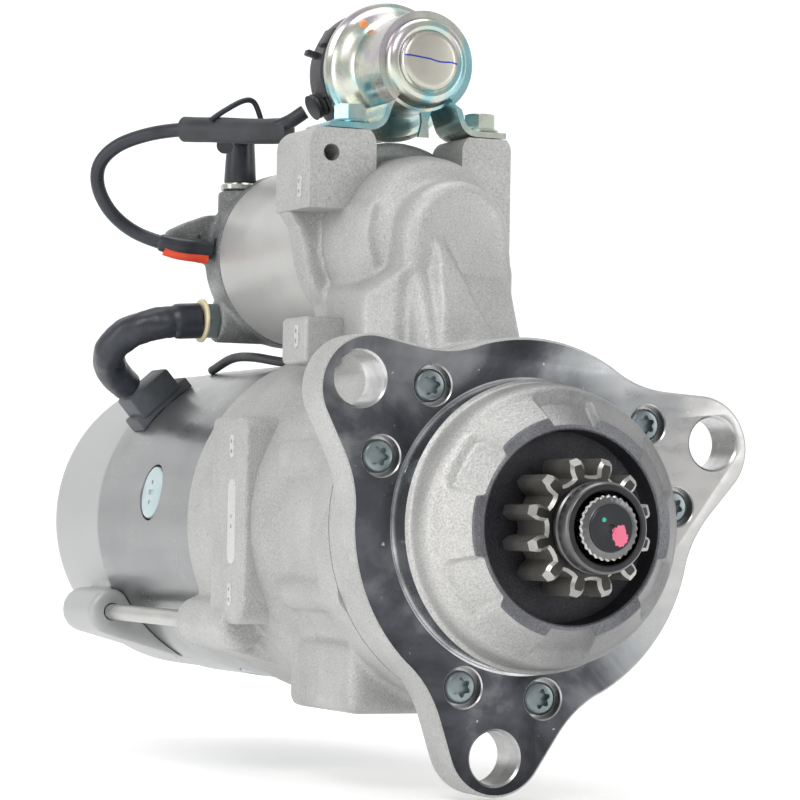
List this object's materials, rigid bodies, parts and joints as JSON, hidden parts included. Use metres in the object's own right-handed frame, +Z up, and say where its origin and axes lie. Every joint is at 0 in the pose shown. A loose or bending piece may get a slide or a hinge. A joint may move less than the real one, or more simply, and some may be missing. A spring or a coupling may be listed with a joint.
{
  "type": "starter motor",
  "caption": "Flange-mounted gear-reduction engine starter motor with sliding drive pinion, shift lever, solenoid, control relay and leads.",
  "frame": {"origin": "centre of the pilot circle, in the flange's front mounting face", "axes": "+Y along the shaft from the pinion towards the rear of the motor, +Z up towards the solenoid and the relay, +X to the right as seen from the pinion's side"},
  "size_m": [0.1596, 0.3535, 0.266],
  "materials": {
    "cast_aluminium": "die-cast, fine grain, machined on the flange and pilot",
    "case_steel": "smooth light grey",
    "frame_steel": "semi-gloss mid grey",
    "machined_steel": "turned and ground",
    "pinion_steel": "dark hardened, bright chamfers",
    "core_steel": "varnished laminations",
    "zinc_plate": "zinc plated, faint rainbow",
    "copper": "copper",
    "carbon": "copper-graphite block",
    "dark_cap": "dark grey moulded, mottled",
    "black_plastic": "satin",
    "rubber": "satin sleeve"
  },
  "bodies": {
    "root": {"nose_housing": "cast_aluminium", "lever_housing": "cast_aluminium", "end_frame": "cast_aluminium", "solenoid_case": "case_steel", "field_frame": "frame_steel", "drive_bearing": "machined_steel", "lever_pivot_pin": "machined_steel", "rear_bearing": "machined_steel", "ring_gear": "machined_steel", "carrier_bearing": "machined_steel", "pole_shoe_1": "machined_steel", "pole_shoe_2": "machined_steel", "pole_shoe_3": "machined_steel", "pole_shoe_4": "machined_steel", "brush_holder": "zinc_plate", "relay_case": "zinc_plate", "relay_bolt_1": "zinc_plate", "relay_bolt_2": "zinc_plate", "through_bolt_1": "zinc_plate", "through_bolt_2": "zinc_plate", "nose_screw_1": "zinc_plate", "nose_screw_2": "zinc_plate", "nose_screw_3": "zinc_plate", "nose_screw_4": "zinc_plate", "nose_screw_5": "zinc_plate", "nose_screw_6": "zinc_plate", "pole_screw_1": "zinc_plate", "pole_screw_2": "zinc_plate", "pole_screw_3": "zinc_plate", "pole_screw_4": "zinc_plate", "field_coils": "copper", "solenoid_coil": "copper", "battery_stud": "copper", "motor_stud": "copper", "solenoid_cap": "dark_cap", "relay_cap": "black_plastic", "motor_lead": "rubber", "switch_lead": "rubber", "battery_lead": "rubber", "lead_grommet": "rubber", "plunger_spring": "machined_steel"},
    "armature": {"armature_shaft": "machined_steel", "armature_core": "core_steel", "commutator": "copper"},
    "carrier": {"planet_carrier": "machined_steel"},
    "planet_1": {"planet_gear_1": "machined_steel"},
    "planet_2": {"planet_gear_2": "machined_steel"},
    "planet_3": {"planet_gear_3": "machined_steel"},
    "drive": {"clutch_housing": "machined_steel"},
    "pinion_shaft": {"output_shaft": "machined_steel", "pinion": "pinion_steel", "pinion_stop": "machined_steel"},
    "plunger": {"plunger": "machined_steel"},
    "lever": {"shift_lever": "machined_steel"},
    "contact": {"contact_disc": "copper"},
    "relay_armature": {"relay_plunger": "machined_steel"},
    "brush_1": {"brush_1": "carbon"},
    "brush_2": {"brush_2": "carbon"},
    "brush_3": {"brush_3": "carbon"},
    "brush_4": {"brush_4": "carbon"}
  },
  "joints": [
    {"name": "armature_spin", "type": "hinge", "parent": "root", "child": "armature", "pos_m": [0, 0.19, 0], "axis": [0, 1, 0], "continuous": true},
    {"name": "carrier_spin", "type": "hinge", "parent": "root", "child": "carrier", "pos_m": [0, 0.1, 0], "axis": [0, 1, 0], "continuous": true},
    {"name": "planet_1_spin", "type": "hinge", "parent": "carrier", "child": "planet_1", "pos_m": [0, 0.121, 0.02363], "axis": [0, 1, 0], "continuous": true},
    {"name": "planet_2_spin", "type": "hinge", "parent": "carrier", "child": "planet_2", "pos_m": [-0.02046, 0.121, -0.01181], "axis": [0, 1, 0], "continuous": true},
    {"name": "planet_3_spin", "type": "hinge", "parent": "carrier", "child": "planet_3", "pos_m": [0.02046, 0.121, -0.01181], "axis": [0, 1, 0], "continuous": true},
    {"name": "plunger_slide", "type": "slide", "parent": "root", "child": "plunger", "axis": [0, 1, 0], "range_m": [0, 0.0119], "stiffness_N_per_m": 900, "springref_m": -0.02, "deforming": ["plunger_spring"]},
    {"name": "lever_swing", "type": "hinge", "parent": "root", "child": "lever", "pos_m": [0, 0.07, 0.06], "axis": [-1, 0, 0], "range_deg": [0, 18.75]},
    {"name": "drive_slide", "type": "slide", "parent": "carrier", "child": "drive", "axis": [0, -1, 0], "range_m": [0, 0.0196]},
    {"name": "pinion_overrun", "type": "hinge", "parent": "drive", "child": "pinion_shaft", "pos_m": [0, 0, 0], "axis": [0, 1, 0], "continuous": true},
    {"name": "contact_slide", "type": "slide", "parent": "root", "child": "contact", "axis": [0, 1, 0], "range_m": [0, 0.003]},
    {"name": "relay_slide", "type": "slide", "parent": "root", "child": "relay_armature", "axis": [0, 1, 0], "range_m": [0, 0.0025], "stiffness_N_per_m": 500, "springref_m": -0.004},
    {"name": "brush_1_slide", "type": "slide", "parent": "root", "child": "brush_1", "axis": [0.7071, 0, 0.7071], "range_m": [0, 0.003], "stiffness_N_per_m": 900, "springref_m": -0.008},
    {"name": "brush_2_slide", "type": "slide", "parent": "root", "child": "brush_2", "axis": [-0.7071, 0, 0.7071], "range_m": [0, 0.003], "stiffness_N_per_m": 900, "springref_m": -0.008},
    {"name": "brush_3_slide", "type": "slide", "parent": "root", "child": "brush_3", "axis": [-0.7071, 0, -0.7071], "range_m": [0, 0.003], "stiffness_N_per_m": 900, "springref_m": -0.008},
    {"name": "brush_4_slide", "type": "slide", "parent": "root", "child": "brush_4", "axis": [0.7071, 0, -0.7071], "range_m": [0, 0.003], "stiffness_N_per_m": 900, "springref_m": -0.008}
  ],
  "couplings": [
    {"joint": "carrier_spin", "follows": "armature_spin", "ratio": 0.27778},
    {"joint": "planet_1_spin", "follows": "armature_spin", "ratio": -0.90278},
    {"joint": "planet_2_spin", "follows": "armature_spin", "ratio": -0.90278},
    {"joint": "planet_3_spin", "follows": "armature_spin", "ratio": -0.90278},
    {"joint": "lever_swing", "follows": "plunger_slide", "rad_per_m": 27.444},
    {"joint": "drive_slide", "follows": "plunger_slide", "ratio": 1.6393},
    {"joint": "contact_slide", "follows": "plunger_slide", "ratio": 0.25}
  ]
}
